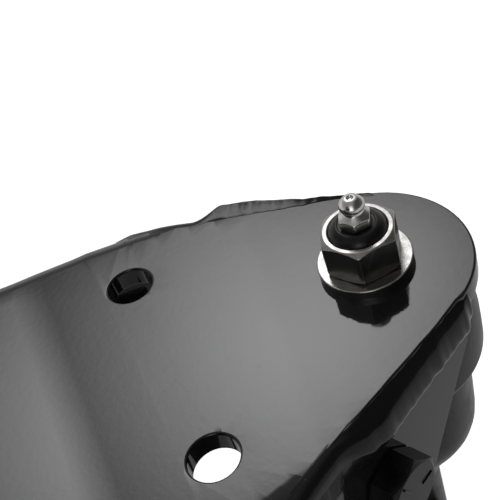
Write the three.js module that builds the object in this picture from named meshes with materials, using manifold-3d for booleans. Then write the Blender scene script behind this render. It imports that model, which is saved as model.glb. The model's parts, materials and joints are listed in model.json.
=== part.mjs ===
// Fifth wheel hitch: two cross beams with four quarter-turn feet, a centre tower, and a head that
// pitches and rolls and holds the trailer's kingpin in two jaws.
// Millimetres, +Z up, +Y towards the cab, +X to the right. The origin is on the floor, midway
// between the four feet.

import * as THREE from 'three';
import { mergeVertices } from 'three/addons/utils/BufferGeometryUtils.js';
import Module from 'manifold-3d';

const wasm = await Module();
wasm.setup();

// ---------------------------------------------------------------- driving dimensions

const GAP = 0.3; // air between pieces that touch or run on each other

// feet
const FOOT_X = 480;
const FOOT_Y = 270;
const FOOT_TOP = 133; // top of the strap at a foot

// cross beams
const STRAP = 6.35; // 1/4 inch plate
const NOSE_R = 28.5;
const TAPER = THREE.MathUtils.degToRad(28.5); // tapered edge to the beam's centre line
const SHOULDER_X = -53.5; // end of the tapered edge, from the foot's axis
const BEND_X = -86; // bend line, from the foot's axis
const BEAM_HALF = 63.5; // half width from the bend line inwards: 5 inches over all
const RISE = THREE.MathUtils.degToRad(6);
const FLAT_X = 200; // the raised middle is flat between -FLAT_X and FLAT_X
const BOLT_HOLE_R = 6.75; // 17/32 inch
const BOLT_HOLE_X = -58.3;
const BOLT_HOLE_Y = 33.8;
const SHAFT_HOLE_R = 6.75;

// gussets and flanges
const SIDE_INSET = 1; // the gussets' outer faces lie this far inside the strap's edge
const SIDE_BOTTOM = 69;
const GUSSET_NOSE_X = 13; // front edge of a gusset, from the foot's axis
const GUSSET_NOSE_Z = -18; // where the front edge starts to slope back
const GUSSET_HEEL_X = -20.3; // where it reaches the bottom

// anchor: heights from the strap's top face at the foot
const SHAFT_R = 6.35; // 1/2 inch
const BARREL_BORE = SHAFT_R + 0.25;
const BARREL_R = 27.4;
const BARREL_END = -34.5;
const BELL_R = 22.3;
const BELL_END = -94;
const STEM_R = 7.1;
const TEE_TOP = -121;
const TEE_HALF_X = 7.2;
const TEE_HALF_Y = 26;
const WASHER_R = 12.8;
const WASHER_TOP = 2.8;
const NUT_FLATS = 19.05;
const NUT_TOP = 13.4;
const SHAFT_TOP = 15.1;
const GREASE_HEX_FLATS = 7.94; // 5/16 inch
const GREASE_HEX_H = 3.1;
const NUT_TURN = THREE.MathUtils.degToRad(2.5);
const LEVER_Z = -78;
const LEVER_R = 6;
const LEVER_ROOT = 9;
const LEVER_END = 118;
const LEVER_KNOB_R = 9;

// hex bolt in the side plate
const SIDE_BOLT_ALONG = 40; // from the end of the nose radius, along the tapered edge
const SIDE_BOLT_Z = -27.5;
const SIDE_BOLT_HEAD = 8;

// centre tower
const RAIL_WEB_X = 81;
const RAIL_W = 50;
const RAIL_H = 70;
const RAIL_T = 8;
const RAIL_END_Y = 310;
const RAIL_BOLT_X = 112;
const RAIL_BOLT_R = 8.5; // holes for the M16 bolts that hold the rails to the beams
const ROLL_Z = 278;
const ROLL_PIN_R = 12.7;
const SUPPORT_Y = 62;
const SUPPORT_T = 12;

// cradle and head
const PITCH_Z = 355;
const ARM_X = 163.6; // inner face of the cradle's arms
const ARM_T = 12;
const WALL_X = 148; // inner face of the head's side walls
const WALL_T = 10;
const WALL_BOTTOM = 322;
const WALL_REAR = -115;
const WALL_FRONT = 150;
const SKID_BOTTOM = 400;
const SKID_T = 12;
const SKID_HALF = 190;
const KEEPER_Z = 346;
const KEEPER_T = 12;
const JAW_Z = 360;
const JAW_T = 28;
const KINGPIN_R = 25.4; // 2 inch kingpin neck
const THROAT_HALF = 39; // clears the kingpin's 2 7/8 inch collar
const JAW_PIVOT = [48, 52];
const JAW_PIN_R = 9.5;
const JAW_SWING = 25;
const CAM_Y = 100;
const CAM_PIN_R = 8;
const CAM_SWING = 60;
const CAM_R = 39.2; // clears the jaws' hubs and the head's front wall as it turns
const CAM_HALF = 17;
const CAM_HUB_R = 15;
const HANDLE_Z = 389;
const HANDLE_T = 8;
const HANDLE_HALF = 14;
const HANDLE_ARM_END = -238;
const HANDLE_BAR_R = 8;
const HANDLE_END = -330;
const GRIP_START = -240;
const GRIP_R = 13;
const SAFETY_X = -215;
const SAFETY_R = 4;

// ---------------------------------------------------------------- materials

function finish(colour, roughness, metalness) {
  return new THREE.MeshStandardMaterial({ color: colour, roughness, metalness });
}

const GLOSS_BLACK = finish(0x0b0b0c, 0.18, 0.1);
const BLACK_STEEL = finish(0x1a1a1b, 0.45, 0.6);
const CAST_BLACK = finish(0x101011, 0.4, 0.2);
const BRIGHT_ZINC = finish(0xb9b7b2, 0.28, 1);
const YELLOW_ZINC = finish(0xb09a5c, 0.35, 1);
const BARE_STEEL = finish(0x8d8d8c, 0.35, 1);
const POLYMER = finish(0x2b2d30, 0.6, 0);
const RED_GRIP = finish(0xa31515, 0.55, 0);

// ---------------------------------------------------------------- solids from geometries

function signedVolume(positions, index) {
  const [a, b, c] = [new THREE.Vector3(), new THREE.Vector3(), new THREE.Vector3()];
  let volume = 0;
  for (let i = 0; i < index.length; i += 3) {
    a.fromArray(positions, index[i] * 3);
    b.fromArray(positions, index[i + 1] * 3);
    c.fromArray(positions, index[i + 2] * 3);
    volume += a.dot(b.cross(c)) / 6;
  }
  return volume;
}

function solid(geometry) {
  const bare = geometry.clone();
  bare.deleteAttribute('normal');
  bare.deleteAttribute('uv');
  const merged = mergeVertices(bare, 1e-4);
  const positions = merged.getAttribute('position').array;
  const index = merged.getIndex().array;
  const triangles = [];
  for (let i = 0; i < index.length; i += 3) {
    const [a, b, c] = [index[i], index[i + 1], index[i + 2]];
    if (a !== b && b !== c && c !== a) triangles.push(a, b, c);
  }
  if (signedVolume(positions, triangles) < 0) triangles.reverse();
  const mesh = new wasm.Mesh({
    numProp: 3,
    vertProperties: new Float32Array(positions),
    triVerts: new Uint32Array(triangles),
  });
  return new wasm.Manifold(mesh);
}

function union(first, ...rest) {
  return rest.reduce((sum, piece) => sum.add(piece), first);
}

function cut(body, ...tools) {
  return tools.reduce((left, tool) => left.subtract(tool), body);
}

function box(x0, x1, y0, y1, z0, z1) {
  const geometry = new THREE.BoxGeometry(x1 - x0, y1 - y0, z1 - z0);
  geometry.translate((x0 + x1) / 2, (y0 + y1) / 2, (z0 + z1) / 2);
  return solid(geometry);
}

function outline(points) {
  return new THREE.Shape(points.map(([x, y]) => new THREE.Vector2(x, y)));
}

// an outline in X and Y, raised from z0 to z1
function plate(shape, z0, z1, curveSegments = 8) {
  const geometry = new THREE.ExtrudeGeometry(shape, { depth: z1 - z0, bevelEnabled: false, curveSegments });
  geometry.translate(0, 0, z0);
  return solid(geometry);
}

// an outline in X and Z, from y0 to y1
function sideways(shape, y0, y1, curveSegments = 8) {
  const geometry = new THREE.ExtrudeGeometry(shape, { depth: y1 - y0, bevelEnabled: false, curveSegments });
  geometry.rotateX(Math.PI / 2);
  geometry.translate(0, y1, 0);
  return solid(geometry);
}

// an outline in Y and Z, from x0 to x1
function across(shape, x0, x1, curveSegments = 8) {
  const geometry = new THREE.ExtrudeGeometry(shape, { depth: x1 - x0, bevelEnabled: false, curveSegments });
  const basis = new THREE.Matrix4().makeBasis(
    new THREE.Vector3(0, 1, 0),
    new THREE.Vector3(0, 0, 1),
    new THREE.Vector3(1, 0, 0),
  );
  geometry.applyMatrix4(basis);
  geometry.translate(x0, 0, 0);
  return solid(geometry);
}

// a prism between two points: a cylinder, or a hexagon when it has six sides
function rod(from, to, radius, sides = 16, turn = 0) {
  const start = new THREE.Vector3(...from);
  const axis = new THREE.Vector3(...to).sub(start);
  const geometry = new THREE.CylinderGeometry(radius, radius, axis.length(), sides);
  geometry.rotateY(turn);
  geometry.translate(0, axis.length() / 2, 0);
  const up = new THREE.Vector3(0, 1, 0);
  geometry.applyQuaternion(new THREE.Quaternion().setFromUnitVectors(up, axis.normalize()));
  geometry.translate(start.x, start.y, start.z);
  return solid(geometry);
}

function hexagon(from, to, flats, turn = 0) {
  return rod(from, to, flats / Math.sqrt(3), 6, turn);
}

// a turned piece about the vertical through (x, y), from [radius, height] pairs
function turned(points, x, y, z, segments = 24) {
  const profile = points.map(([radius, height]) => new THREE.Vector2(radius, height));
  const geometry = new THREE.LatheGeometry(profile, segments);
  geometry.rotateX(Math.PI / 2);
  geometry.translate(x, y, z);
  return solid(geometry);
}

function ball(x, y, z, radius) {
  const geometry = new THREE.SphereGeometry(radius, 12, 7);
  geometry.translate(x, y, z);
  return solid(geometry);
}

const hitch = new THREE.Group();

function piece(name, body, material) {
  const mesh = body.getMesh();
  const geometry = new THREE.BufferGeometry();
  geometry.setAttribute('position', new THREE.BufferAttribute(new Float32Array(mesh.vertProperties), 3));
  geometry.setIndex(new THREE.BufferAttribute(new Uint32Array(mesh.triVerts), 1));
  geometry.computeVertexNormals();
  const object = new THREE.Mesh(geometry, material);
  object.name = name;
  hitch.add(object);
}

const SIDES = [
  { word: 'right', sx: 1 },
  { word: 'left', sx: -1 },
];
const ENDS = [
  { word: 'front', sy: 1 },
  { word: 'rear', sy: -1 },
];

// ---------------------------------------------------------------- cross beams

// where two lines meet, each given by its unit normal and its distance from the foot's axis
function meet([ax, ay], a, [bx, by], b) {
  const det = ax * by - ay * bx;
  return [(a * by - b * ay) / det, (b * ax - a * bx) / det];
}

const TAPER_NORMAL = [Math.sin(TAPER), Math.cos(TAPER)];
const SHOULDER_Y = (NOSE_R - SHOULDER_X * TAPER_NORMAL[0]) / TAPER_NORMAL[1];
const FLARE = Math.atan2(BEAM_HALF - SHOULDER_Y, SHOULDER_X - BEND_X);
const FLARE_NORMAL = [Math.sin(FLARE), Math.cos(FLARE)];
const FLARE_AT = SHOULDER_X * FLARE_NORMAL[0] + SHOULDER_Y * FLARE_NORMAL[1];
const CORNER_CUT = 5; // how far the softened shoulder reaches each way

// the beam in plan, drawn about its own centre line, with every edge moved in by inset
function beamOutline(inset) {
  const shoulder = meet(TAPER_NORMAL, NOSE_R - inset, FLARE_NORMAL, FLARE_AT - inset);
  const bend = meet(FLARE_NORMAL, FLARE_AT - inset, [0, 1], BEAM_HALF - inset);
  const before = [shoulder[0] + CORNER_CUT * TAPER_NORMAL[1], shoulder[1] - CORNER_CUT * TAPER_NORMAL[0]];
  const after = [shoulder[0] - CORNER_CUT * FLARE_NORMAL[1], shoulder[1] + CORNER_CUT * FLARE_NORMAL[0]];
  const sweep = Math.PI / 2 - TAPER;
  const shape = new THREE.Shape();
  shape.absarc(FOOT_X, 0, NOSE_R - inset, -sweep, sweep, false);
  shape.lineTo(FOOT_X + before[0], before[1]);
  shape.quadraticCurveTo(FOOT_X + shoulder[0], shoulder[1], FOOT_X + after[0], after[1]);
  shape.lineTo(FOOT_X + bend[0], bend[1]);
  shape.lineTo(-FOOT_X - bend[0], bend[1]);
  shape.lineTo(-FOOT_X - after[0], after[1]);
  shape.quadraticCurveTo(-FOOT_X - shoulder[0], shoulder[1], -FOOT_X - before[0], before[1]);
  shape.absarc(-FOOT_X, 0, NOSE_R - inset, Math.PI - sweep, Math.PI + sweep, false);
  shape.lineTo(-FOOT_X - before[0], -before[1]);
  shape.quadraticCurveTo(-FOOT_X - shoulder[0], -shoulder[1], -FOOT_X - after[0], -after[1]);
  shape.lineTo(-FOOT_X - bend[0], -bend[1]);
  shape.lineTo(FOOT_X + bend[0], -bend[1]);
  shape.lineTo(FOOT_X + after[0], -after[1]);
  shape.quadraticCurveTo(FOOT_X + shoulder[0], -shoulder[1], FOOT_X + before[0], -before[1]);
  return shape;
}

const BEAM_RISE = (FOOT_X + BEND_X - FLAT_X) * Math.tan(RISE);
const BEAM_TOP = FOOT_TOP + BEAM_RISE;
const REACH = FOOT_X + NOSE_R + 10;

// the strap's top line from right to left, lowered by drop and ending at reach
function topLine(reach, drop) {
  const right = [
    [reach, FOOT_TOP - drop],
    [FOOT_X + BEND_X, FOOT_TOP - drop],
    [FLAT_X, BEAM_TOP - drop],
  ];
  const left = right.map(([x, z]) => [-x, z]).reverse();
  return [...right, ...left];
}

const SIDE_FACE = NOSE_R - SIDE_INSET;
const SHOULDER = FOOT_X + SHOULDER_X;

// upright wall of one plate's thickness under the beam's edge
function edgeWall(inset) {
  const outer = plate(beamOutline(inset), SIDE_BOTTOM, BEAM_TOP, 3);
  return cut(outer, plate(beamOutline(inset + STRAP), SIDE_BOTTOM - 5, BEAM_TOP + 5, 3));
}

function drill(x, y, radius) {
  return rod([x, y, 0], [x, y, 200], radius);
}

// the formed channel: the strap and the two flanges bent down from it
function channel(sy) {
  const section = outline([...topLine(REACH, 0), ...topLine(REACH, STRAP).reverse()]);
  const top = sideways(section, -80, 80).intersect(plate(beamOutline(0), 0, BEAM_TOP + 10, 9));
  const end = SHOULDER - GAP;
  const under = outline([...topLine(end, STRAP / 2), [-end, SIDE_BOTTOM], [end, SIDE_BOTTOM]]);
  const flanges = edgeWall(0).intersect(sideways(under, -90, 90));
  const holes = SIDES.flatMap(({ sx }) => [
    drill(sx * FOOT_X, 0, SHAFT_HOLE_R),
    drill(sx * (FOOT_X + BOLT_HOLE_X), BOLT_HOLE_Y, BOLT_HOLE_R),
    drill(sx * (FOOT_X + BOLT_HOLE_X), -BOLT_HOLE_Y, BOLT_HOLE_R),
    drill(sx * RAIL_BOLT_X, 0, RAIL_BOLT_R),
  ]);
  return cut(union(top, flanges), ...holes).translate([0, sy * FOOT_Y, 0]);
}

// the tapered edge's outer face at a foot: a point that far along it, and out from the foot's axis
function onTaper(along, out, sx, sy, z) {
  const x = out * TAPER_NORMAL[0] - along * TAPER_NORMAL[1];
  const y = out * TAPER_NORMAL[1] + along * TAPER_NORMAL[0];
  return [sx * (FOOT_X + x), sy * y, z];
}

// the plate under one tapered edge; side is +1 for the edge towards the outside of the hitch, and the
// other one is drilled for the foot's side bolt
function gusset(sx, sy, side) {
  const toY = sy * side;
  const top = FOOT_TOP - STRAP - GAP;
  const section = outline([
    [sx * (SHOULDER + GAP), SIDE_BOTTOM],
    [sx * (SHOULDER + GAP), top],
    [sx * (FOOT_X + GUSSET_NOSE_X), top],
    [sx * (FOOT_X + GUSSET_NOSE_X), FOOT_TOP + GUSSET_NOSE_Z],
    [sx * (FOOT_X + GUSSET_HEEL_X), SIDE_BOTTOM],
  ]);
  const half = toY > 0 ? [5, 90] : [-90, -5];
  const barrelLow = FOOT_TOP + BARREL_END - GAP;
  const blank = cut(
    edgeWall(SIDE_INSET).intersect(sideways(section, half[0], half[1])),
    rod([sx * FOOT_X, 0, barrelLow], [sx * FOOT_X, 0, 200], BARREL_R + 2 * GAP, 32),
  );
  const z = FOOT_TOP + SIDE_BOLT_Z;
  const [inside, outside] = [0, 60].map((out) => onTaper(SIDE_BOLT_ALONG, out, sx, toY, z));
  const drilled = side > 0 ? blank : cut(blank, rod(inside, outside, SHAFT_R + GAP, 12));
  return drilled.translate([0, sy * FOOT_Y, 0]);
}

for (const { word, sy } of ENDS) piece(`${word}_beam_channel`, channel(sy), GLOSS_BLACK);

// ---------------------------------------------------------------- feet

function barrel(x, y) {
  const profile = [
    [BARREL_BORE, BARREL_END],
    [BARREL_R - 3, BARREL_END],
    [BARREL_R - 0.7, BARREL_END + 2.5],
    [BARREL_R, BARREL_END + 7],
    [BARREL_R, BARREL_END + 14],
    [BARREL_R - 1.4, BARREL_END + 22],
    [BARREL_R - 2.8, -STRAP - GAP],
    [BARREL_BORE, -STRAP - GAP],
    [BARREL_BORE, BARREL_END],
  ];
  return turned(profile, x, y, FOOT_TOP, 28);
}

function anchor(x, y, sx) {
  const profile = [
    [0, -FOOT_TOP],
    [STEM_R, -FOOT_TOP],
    [STEM_R, BELL_END],
    [BELL_R - 9.4, BELL_END + 12],
    [BELL_R - 3, BELL_END + 23],
    [BELL_R - 0.5, BELL_END + 29],
    [BELL_R, BARREL_END - 3],
    [BELL_R - 1, BARREL_END - GAP],
    [SHAFT_R, BARREL_END - GAP],
    [SHAFT_R, SHAFT_TOP],
    [0, SHAFT_TOP],
  ];
  const shaft = turned(profile, x, y, FOOT_TOP, 24);
  const tee = box(x - TEE_HALF_X, x + TEE_HALF_X, y - TEE_HALF_Y, y + TEE_HALF_Y, 0, FOOT_TOP + TEE_TOP);
  const height = FOOT_TOP + LEVER_Z;
  const [root, outside] = [x - sx * LEVER_ROOT, x - sx * (LEVER_ROOT + 20)];
  const socket = rod([root, y, height], [outside, y, height], LEVER_R + GAP, 16);
  return cut(union(shaft, tee), socket);
}

function lever(x, y, sx) {
  const height = FOOT_TOP + LEVER_Z;
  const [root, end] = [x - sx * (LEVER_ROOT + GAP), x - sx * LEVER_END];
  return union(rod([root, y, height], [end, y, height], LEVER_R, 16), ball(end, y, height, LEVER_KNOB_R));
}

function washer(x, y) {
  const profile = [
    [SHAFT_R + GAP, GAP],
    [WASHER_R, GAP],
    [WASHER_R, WASHER_TOP],
    [SHAFT_R + GAP, WASHER_TOP],
    [SHAFT_R + GAP, GAP],
  ];
  return turned(profile, x, y, FOOT_TOP, 24);
}

function nut(x, y, turn) {
  const low = FOOT_TOP + WASHER_TOP + GAP;
  const high = FOOT_TOP + NUT_TOP;
  const block = hexagon([x, y, low], [x, y, high], NUT_FLATS, turn);
  return cut(block, rod([x, y, low - 5], [x, y, high + 5], SHAFT_R + GAP));
}

function greaseFitting(x, y, turn) {
  const low = SHAFT_TOP + GAP;
  const profile = [
    [0, low],
    [2.4, low],
    [2.4, low + 4.4],
    [3.25, low + 5.3],
    [3.25, low + 6.7],
    [1.6, low + 8.5],
    [0, low + 8.5],
  ];
  const base = hexagon([x, y, FOOT_TOP + low], [x, y, FOOT_TOP + low + GREASE_HEX_H], GREASE_HEX_FLATS, turn);
  return union(turned(profile, x, y, FOOT_TOP, 12), base);
}

function sideBolt(sx, sy) {
  const z = FOOT_TOP + SIDE_BOLT_Z;
  const at = (out) => {
    const [x, y] = onTaper(SIDE_BOLT_ALONG, out, sx, -sy, z);
    return [x, y + sy * FOOT_Y, z];
  };
  const head = hexagon(at(SIDE_FACE + GAP), at(SIDE_FACE + SIDE_BOLT_HEAD), NUT_FLATS);
  const nutFace = SIDE_FACE - STRAP - GAP;
  const shank = rod(at(nutFace - 10), at(SIDE_FACE + 2), SHAFT_R, 16);
  const innerNut = hexagon(at(nutFace - 8), at(nutFace), NUT_FLATS);
  return union(head, shank, innerNut);
}

for (const { word: end, sy } of ENDS) {
  for (const { word: side, sx } of SIDES) {
    const foot = `${end}_${side}`;
    const [x, y] = [sx * FOOT_X, sy * FOOT_Y];
    piece(`gusset_outer_${foot}`, gusset(sx, sy, 1), GLOSS_BLACK);
    piece(`gusset_inner_${foot}`, gusset(sx, sy, -1), GLOSS_BLACK);
    piece(`anchor_barrel_${foot}`, barrel(x, y), CAST_BLACK);
    piece(`anchor_${foot}`, anchor(x, y, sx), BLACK_STEEL);
    piece(`anchor_lever_${foot}`, lever(x, y, sx), BRIGHT_ZINC);
    piece(`washer_${foot}`, washer(x, y), BRIGHT_ZINC);
    piece(`nut_${foot}`, nut(x, y, NUT_TURN), BRIGHT_ZINC);
    piece(`grease_fitting_${foot}`, greaseFitting(x, y, NUT_TURN), BRIGHT_ZINC);
    piece(`side_bolt_${foot}`, sideBolt(sx, sy), BLACK_STEEL);
  }
}

// ---------------------------------------------------------------- centre tower

const RAIL_BOTTOM = BEAM_TOP + GAP;
const RAIL_TOP = RAIL_BOTTOM + RAIL_H;

function rail(sx) {
  const section = outline([
    [RAIL_WEB_X, RAIL_BOTTOM],
    [RAIL_WEB_X + RAIL_W, RAIL_BOTTOM],
    [RAIL_WEB_X + RAIL_W, RAIL_BOTTOM + RAIL_T],
    [RAIL_WEB_X + RAIL_T, RAIL_BOTTOM + RAIL_T],
    [RAIL_WEB_X + RAIL_T, RAIL_TOP - RAIL_T],
    [RAIL_WEB_X + RAIL_W, RAIL_TOP - RAIL_T],
    [RAIL_WEB_X + RAIL_W, RAIL_TOP],
    [RAIL_WEB_X, RAIL_TOP],
  ].map(([x, z]) => [sx * x, z]));
  const holes = ENDS.map(({ sy }) =>
    rod([sx * RAIL_BOLT_X, sy * FOOT_Y, 0], [sx * RAIL_BOLT_X, sy * FOOT_Y, RAIL_BOTTOM + 20], RAIL_BOLT_R),
  );
  return cut(sideways(section, -RAIL_END_Y, RAIL_END_Y), ...holes);
}

function rollSupport(sy) {
  const shape = new THREE.Shape();
  const foot = RAIL_WEB_X - GAP;
  shape.moveTo(-foot, RAIL_BOTTOM + 4);
  shape.lineTo(foot, RAIL_BOTTOM + 4);
  shape.lineTo(foot, RAIL_TOP);
  shape.lineTo(31, ROLL_Z + 8);
  shape.absarc(0, ROLL_Z, 32, 0.25, Math.PI - 0.25, false);
  shape.lineTo(-foot, RAIL_TOP);
  const y0 = sy > 0 ? SUPPORT_Y : -SUPPORT_Y - SUPPORT_T;
  const body = sideways(shape, y0, y0 + SUPPORT_T, 16);
  return cut(body, rod([0, y0 - 5, ROLL_Z], [0, y0 + SUPPORT_T + 5, ROLL_Z], ROLL_PIN_R + GAP));
}

function rollPin() {
  const face = SUPPORT_Y + SUPPORT_T + GAP;
  return union(
    rod([0, -face - 14, ROLL_Z], [0, face + 2, ROLL_Z], ROLL_PIN_R),
    hexagon([0, face, ROLL_Z], [0, face + 15, ROLL_Z], 38),
    hexagon([0, -face - 12, ROLL_Z], [0, -face, ROLL_Z], 38),
  );
}

for (const { word, sx } of SIDES) piece(`centre_rail_${word}`, rail(sx), GLOSS_BLACK);
for (const { word, sy } of ENDS) piece(`roll_support_${word}`, rollSupport(sy), GLOSS_BLACK);
piece('roll_pin', rollPin(), BRIGHT_ZINC);

// ---------------------------------------------------------------- cradle

const CRADLE_Y = 40;
const CRADLE_BOTTOM = ROLL_Z - 25;
const CRADLE_TOP = ROLL_Z + 25;
const CRADLE_T = 8;
const BUSH_R = 18.7;

function cradle() {
  const channel = cut(
    box(-ARM_X - 2, ARM_X + 2, -CRADLE_Y, CRADLE_Y, CRADLE_BOTTOM, CRADLE_TOP),
    box(-ARM_X, ARM_X, -CRADLE_Y + CRADLE_T, CRADLE_Y - CRADLE_T, CRADLE_BOTTOM - 5, CRADLE_TOP - CRADLE_T),
  );
  const sleeve = rod([0, -CRADLE_Y, ROLL_Z], [0, CRADLE_Y, ROLL_Z], 21);
  const armShape = new THREE.Shape();
  armShape.moveTo(-CRADLE_Y, CRADLE_BOTTOM);
  armShape.lineTo(CRADLE_Y, CRADLE_BOTTOM);
  armShape.lineTo(CRADLE_Y, CRADLE_TOP);
  armShape.absarc(0, PITCH_Z, 32, -0.2, Math.PI + 0.2, false);
  armShape.lineTo(-CRADLE_Y, CRADLE_TOP);
  const arms = SIDES.map(({ sx }) => {
    const x0 = sx > 0 ? ARM_X : -ARM_X - ARM_T;
    return across(armShape, x0, x0 + ARM_T, 16);
  });
  return cut(
    union(channel, sleeve, ...arms),
    rod([0, -60, ROLL_Z], [0, 60, ROLL_Z], ROLL_PIN_R + GAP),
    rod([-200, 0, PITCH_Z], [200, 0, PITCH_Z], BUSH_R + GAP, 24),
  );
}

function bushing(sx) {
  const inner = WALL_X + WALL_T + GAP;
  const flange = rod([sx * inner, 0, PITCH_Z], [sx * (ARM_X - GAP), 0, PITCH_Z], 27, 24);
  const sleeve = rod([sx * inner, 0, PITCH_Z], [sx * (ARM_X + ARM_T), 0, PITCH_Z], BUSH_R, 24);
  return cut(union(flange, sleeve), rod([sx * 100, 0, PITCH_Z], [sx * 200, 0, PITCH_Z], ROLL_PIN_R + GAP));
}

function pitchPin(sx) {
  const outer = ARM_X + ARM_T + GAP;
  return union(
    rod([sx * (WALL_X - 16), 0, PITCH_Z], [sx * (outer + 2), 0, PITCH_Z], ROLL_PIN_R),
    hexagon([sx * outer, 0, PITCH_Z], [sx * (outer + 14), 0, PITCH_Z], 38),
    hexagon([sx * (WALL_X - 13), 0, PITCH_Z], [sx * (WALL_X - GAP), 0, PITCH_Z], 36),
  );
}

piece('cradle', cradle(), GLOSS_BLACK);
for (const { word, sx } of SIDES) {
  piece(`pitch_bushing_${word}`, bushing(sx), POLYMER);
  piece(`pitch_pin_${word}`, pitchPin(sx), BRIGHT_ZINC);
}

// ---------------------------------------------------------------- head

function headFrame() {
  const outer = WALL_X + WALL_T;
  return cut(
    box(-outer, outer, WALL_REAR, WALL_FRONT, WALL_BOTTOM, SKID_BOTTOM - GAP),
    box(-WALL_X, WALL_X, WALL_REAR - 5, WALL_FRONT - WALL_T, WALL_BOTTOM - 5, SKID_BOTTOM + 5),
    rod([-200, 0, PITCH_Z], [200, 0, PITCH_Z], ROLL_PIN_R + GAP),
    box(-200, 20, CAM_Y - 22, WALL_FRONT + 5, HANDLE_Z - 2, SKID_BOTTOM + 5),
  );
}

const SKID_TOP = SKID_BOTTOM + SKID_T;
const SKID_FRONT = 200;
const SKID_REAR = -215;
const RAMP_START = -122;
const RAMP = THREE.MathUtils.degToRad(18);

function skidPlate() {
  const drop = (RAMP_START - SKID_REAR) * Math.tan(RAMP);
  const section = outline([
    [SKID_FRONT, SKID_BOTTOM],
    [SKID_FRONT, SKID_TOP],
    [RAMP_START, SKID_TOP],
    [SKID_REAR, SKID_TOP - drop],
    [SKID_REAR, SKID_BOTTOM - drop],
    [RAMP_START, SKID_BOTTOM],
  ]);
  const plan = new THREE.Shape();
  const front = 60;
  const rear = 25;
  plan.moveTo(SKID_HALF, SKID_REAR + rear);
  plan.lineTo(SKID_HALF, SKID_FRONT - front);
  plan.absarc(SKID_HALF - front, SKID_FRONT - front, front, 0, Math.PI / 2, false);
  plan.absarc(-SKID_HALF + front, SKID_FRONT - front, front, Math.PI / 2, Math.PI, false);
  plan.lineTo(-SKID_HALF, SKID_REAR + rear);
  plan.absarc(-SKID_HALF + rear, SKID_REAR + rear, rear, Math.PI, Math.PI * 1.5, false);
  plan.lineTo(-115, SKID_REAR);
  plan.lineTo(-THROAT_HALF, -45);
  plan.absarc(0, 0, THROAT_HALF, Math.PI, 0, true);
  plan.lineTo(THROAT_HALF, -45);
  plan.lineTo(115, SKID_REAR);
  plan.absarc(SKID_HALF - rear, SKID_REAR + rear, rear, Math.PI * 1.5, Math.PI * 2, false);
  return across(section, -SKID_HALF, SKID_HALF).intersect(plate(plan, 300, 450, 12));
}

function keeperPlate() {
  const plan = new THREE.Shape();
  const x = WALL_X - GAP;
  const y = WALL_FRONT - WALL_T - GAP;
  plan.moveTo(x, WALL_REAR);
  plan.lineTo(x, y);
  plan.lineTo(-x, y);
  plan.lineTo(-x, WALL_REAR);
  plan.lineTo(-75, WALL_REAR);
  plan.lineTo(-THROAT_HALF, -45);
  plan.absarc(0, 0, THROAT_HALF, Math.PI, 0, true);
  plan.lineTo(THROAT_HALF, -45);
  plan.lineTo(75, WALL_REAR);
  const bores = SIDES.map(({ sx }) =>
    rod([sx * JAW_PIVOT[0], JAW_PIVOT[1], 300], [sx * JAW_PIVOT[0], JAW_PIVOT[1], 390], JAW_PIN_R + GAP),
  );
  const nuts = SIDES.map(({ sx }) => rod([sx * 120, 0, PITCH_Z], [sx * 200, 0, PITCH_Z], 22));
  const camBore = rod([0, CAM_Y, 300], [0, CAM_Y, 390], CAM_PIN_R + GAP);
  return cut(plate(plan, KEEPER_Z, KEEPER_Z + KEEPER_T), ...bores, ...nuts, camBore);
}

function pivotPin(x, y, radius, low) {
  return union(
    rod([x, y, low], [x, y, SKID_BOTTOM - GAP], radius),
    hexagon([x, y, low], [x, y, low + 8], radius * 3),
  );
}

const SPRING_R = 13;
const SPRING_WIRE = 1.5;
const SPRING_TURNS = 4;
const SPRING_PITCH = 3.6;

class Helix extends THREE.Curve {
  getPoint(t, target = new THREE.Vector3()) {
    const turns = t * SPRING_TURNS;
    const angle = turns * Math.PI * 2;
    return target.set(SPRING_R * Math.cos(angle), SPRING_R * Math.sin(angle), turns * SPRING_PITCH);
  }
}

function camSpring() {
  const section = new THREE.Shape();
  section.absarc(0, 0, SPRING_WIRE, 0, Math.PI * 2, false);
  const geometry = new THREE.ExtrudeGeometry(section, {
    extrudePath: new Helix(),
    steps: SPRING_TURNS * 10,
    curveSegments: 2,
    bevelEnabled: false,
  });
  geometry.translate(0, CAM_Y, KEEPER_Z - GAP - SPRING_WIRE - SPRING_TURNS * SPRING_PITCH - 0.6);
  return solid(geometry);
}

piece('head_frame', headFrame(), GLOSS_BLACK);
piece('skid_plate', skidPlate(), GLOSS_BLACK);
piece('keeper_plate', keeperPlate(), GLOSS_BLACK);
for (const { word, sx } of SIDES) {
  piece(`jaw_pin_${word}`, pivotPin(sx * JAW_PIVOT[0], JAW_PIVOT[1], JAW_PIN_R, KEEPER_Z - 10), BRIGHT_ZINC);
}
piece('cam_pin', pivotPin(0, CAM_Y, CAM_PIN_R, KEEPER_Z - 28), BRIGHT_ZINC);
piece('handle_spring', camSpring(), BARE_STEEL);

// ---------------------------------------------------------------- jaws

const JAW_OUTER = 56;
const TAIL_INNER = 42;
const TAIL_OUTER = 70;
const TAIL_END = 118;

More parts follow.
